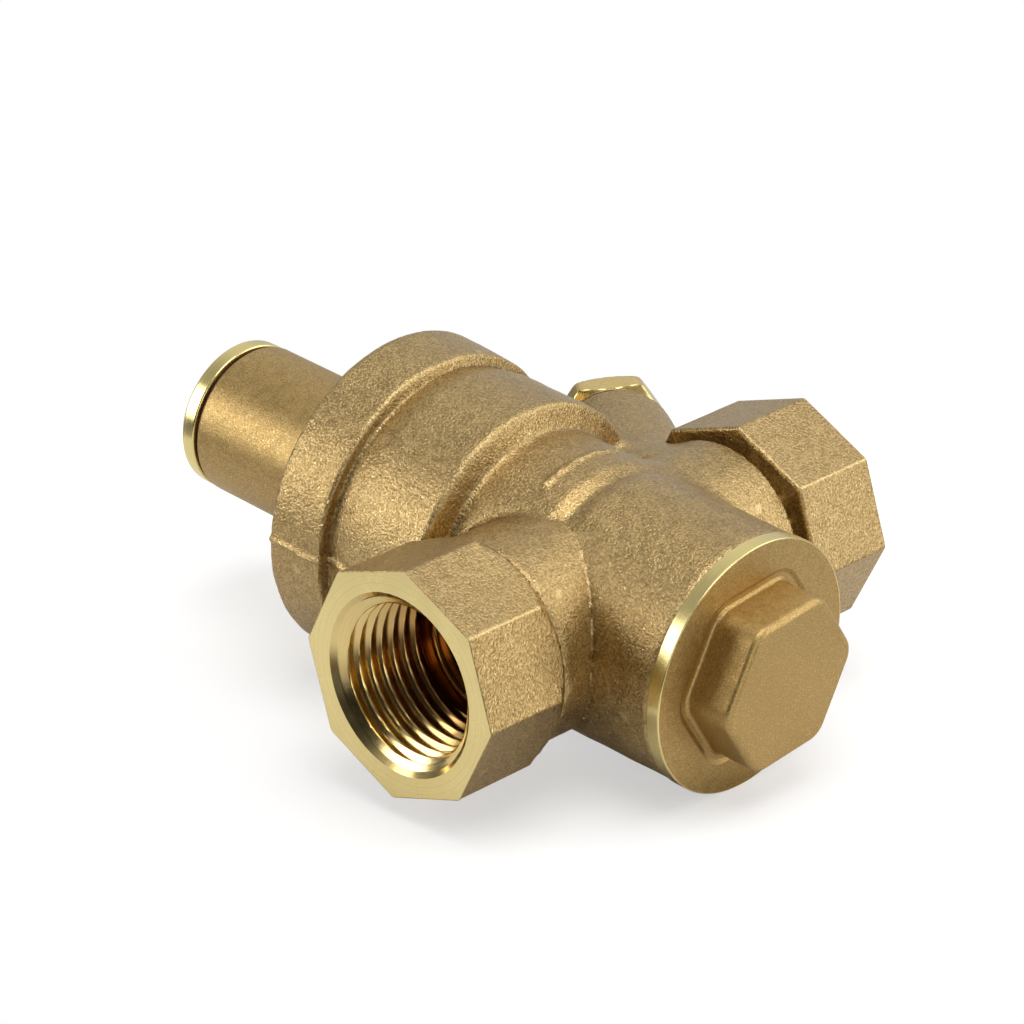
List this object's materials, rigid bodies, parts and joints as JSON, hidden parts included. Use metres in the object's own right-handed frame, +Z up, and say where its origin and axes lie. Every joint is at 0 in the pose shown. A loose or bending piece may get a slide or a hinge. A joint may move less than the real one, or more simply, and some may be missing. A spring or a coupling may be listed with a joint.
{
  "type": "water pressure regulator",
  "caption": "In-line brass water pressure reducing valve with octagonal threaded ports, a sprung adjuster at one end, a hexagonal bottom plug at the other and an angled gauge boss.",
  "frame": {"origin": "centre of the bottom plug's hexagonal end face, on the valve axis", "axes": "+X along the valve axis out through the bottom plug, so the adjuster is at -X; +Y along the flow axis from inlet to outlet; +Z up with the valve lying on its side; the flow axis crosses the valve axis at x = -29.35 mm"},
  "size_m": [0.0921, 0.0734, 0.0412],
  "materials": {
    "cast_brass": "blasted casting",
    "machined_brass": "turned",
    "steel": "drawn wire and turned steel",
    "rubber": "matt",
    "fibre": "matt fibre",
    "ptfe": "matt"
  },
  "bodies": {
    "housing": {"valve_body": "cast_brass", "spring_bonnet": "cast_brass", "bonnet_gasket": "fibre", "valve_seat": "machined_brass", "seat_oring": "rubber", "main_spring": "steel"},
    "cap_seal": {"cap_gasket": "fibre"},
    "cap": {"adjuster_cap": "machined_brass"},
    "spring_seat": {"spring_top_seat": "steel"},
    "adjuster": {"adjusting_screw": "machined_brass"},
    "shuttle": {"piston": "machined_brass", "piston_guide_ring": "ptfe", "piston_oring": "rubber", "disc_washer": "steel", "valve_disc": "rubber", "disc_holder": "machined_brass", "guide_nut": "machined_brass", "guide_oring": "rubber"},
    "plug_seal": {"plug_oring": "rubber"},
    "plug": {"bottom_plug": "cast_brass"},
    "gauge_seal": {"gauge_plug_washer": "fibre"},
    "gauge_stopper": {"gauge_plug": "machined_brass"}
  },
  "joints": [
    {"name": "cap_travel", "type": "slide", "parent": "housing", "child": "cap_seal", "axis": [-1, 0, 0], "range_m": [0, 0.004]},
    {"name": "cap_turn", "type": "hinge", "parent": "cap_seal", "child": "cap", "pos_m": [0, 0, 0], "axis": [-1, 0, 0], "range_deg": [0, 1440]},
    {"name": "adjuster_travel", "type": "slide", "parent": "housing", "child": "spring_seat", "axis": [1, 0, 0], "range_m": [-0.001, 0.005], "deforming": ["main_spring"]},
    {"name": "adjuster_turn", "type": "hinge", "parent": "spring_seat", "child": "adjuster", "pos_m": [0, 0, 0], "axis": [1, 0, 0], "range_deg": [-360, 1800]},
    {"name": "piston_travel", "type": "slide", "parent": "housing", "child": "shuttle", "axis": [-1, 0, 0], "range_m": [0, 0.0024], "deforming": ["main_spring"]},
    {"name": "plug_travel", "type": "slide", "parent": "housing", "child": "plug_seal", "axis": [1, 0, 0], "range_m": [0, 0.0105]},
    {"name": "plug_turn", "type": "hinge", "parent": "plug_seal", "child": "plug", "pos_m": [0, 0, 0], "axis": [1, 0, 0], "range_deg": [0, 2520]},
    {"name": "gauge_plug_travel", "type": "slide", "parent": "housing", "child": "gauge_seal", "axis": [-0.788, 0.6157, 0], "range_m": [0, 0.00726]},
    {"name": "gauge_plug_turn", "type": "hinge", "parent": "gauge_seal", "child": "gauge_stopper", "pos_m": [-0.05525, 0.0303, 0], "axis": [-0.788, 0.6157, 0], "range_deg": [0, 2880]}
  ],
  "couplings": [
    {"joint": "cap_travel", "follows": "cap_turn", "m_per_rad": 0.00015915},
    {"joint": "adjuster_travel", "follows": "adjuster_turn", "m_per_rad": 0.00015915},
    {"joint": "plug_travel", "follows": "plug_turn", "m_per_rad": 0.00023873},
    {"joint": "gauge_plug_travel", "follows": "gauge_plug_turn", "m_per_rad": 0.00014435}
  ]
}
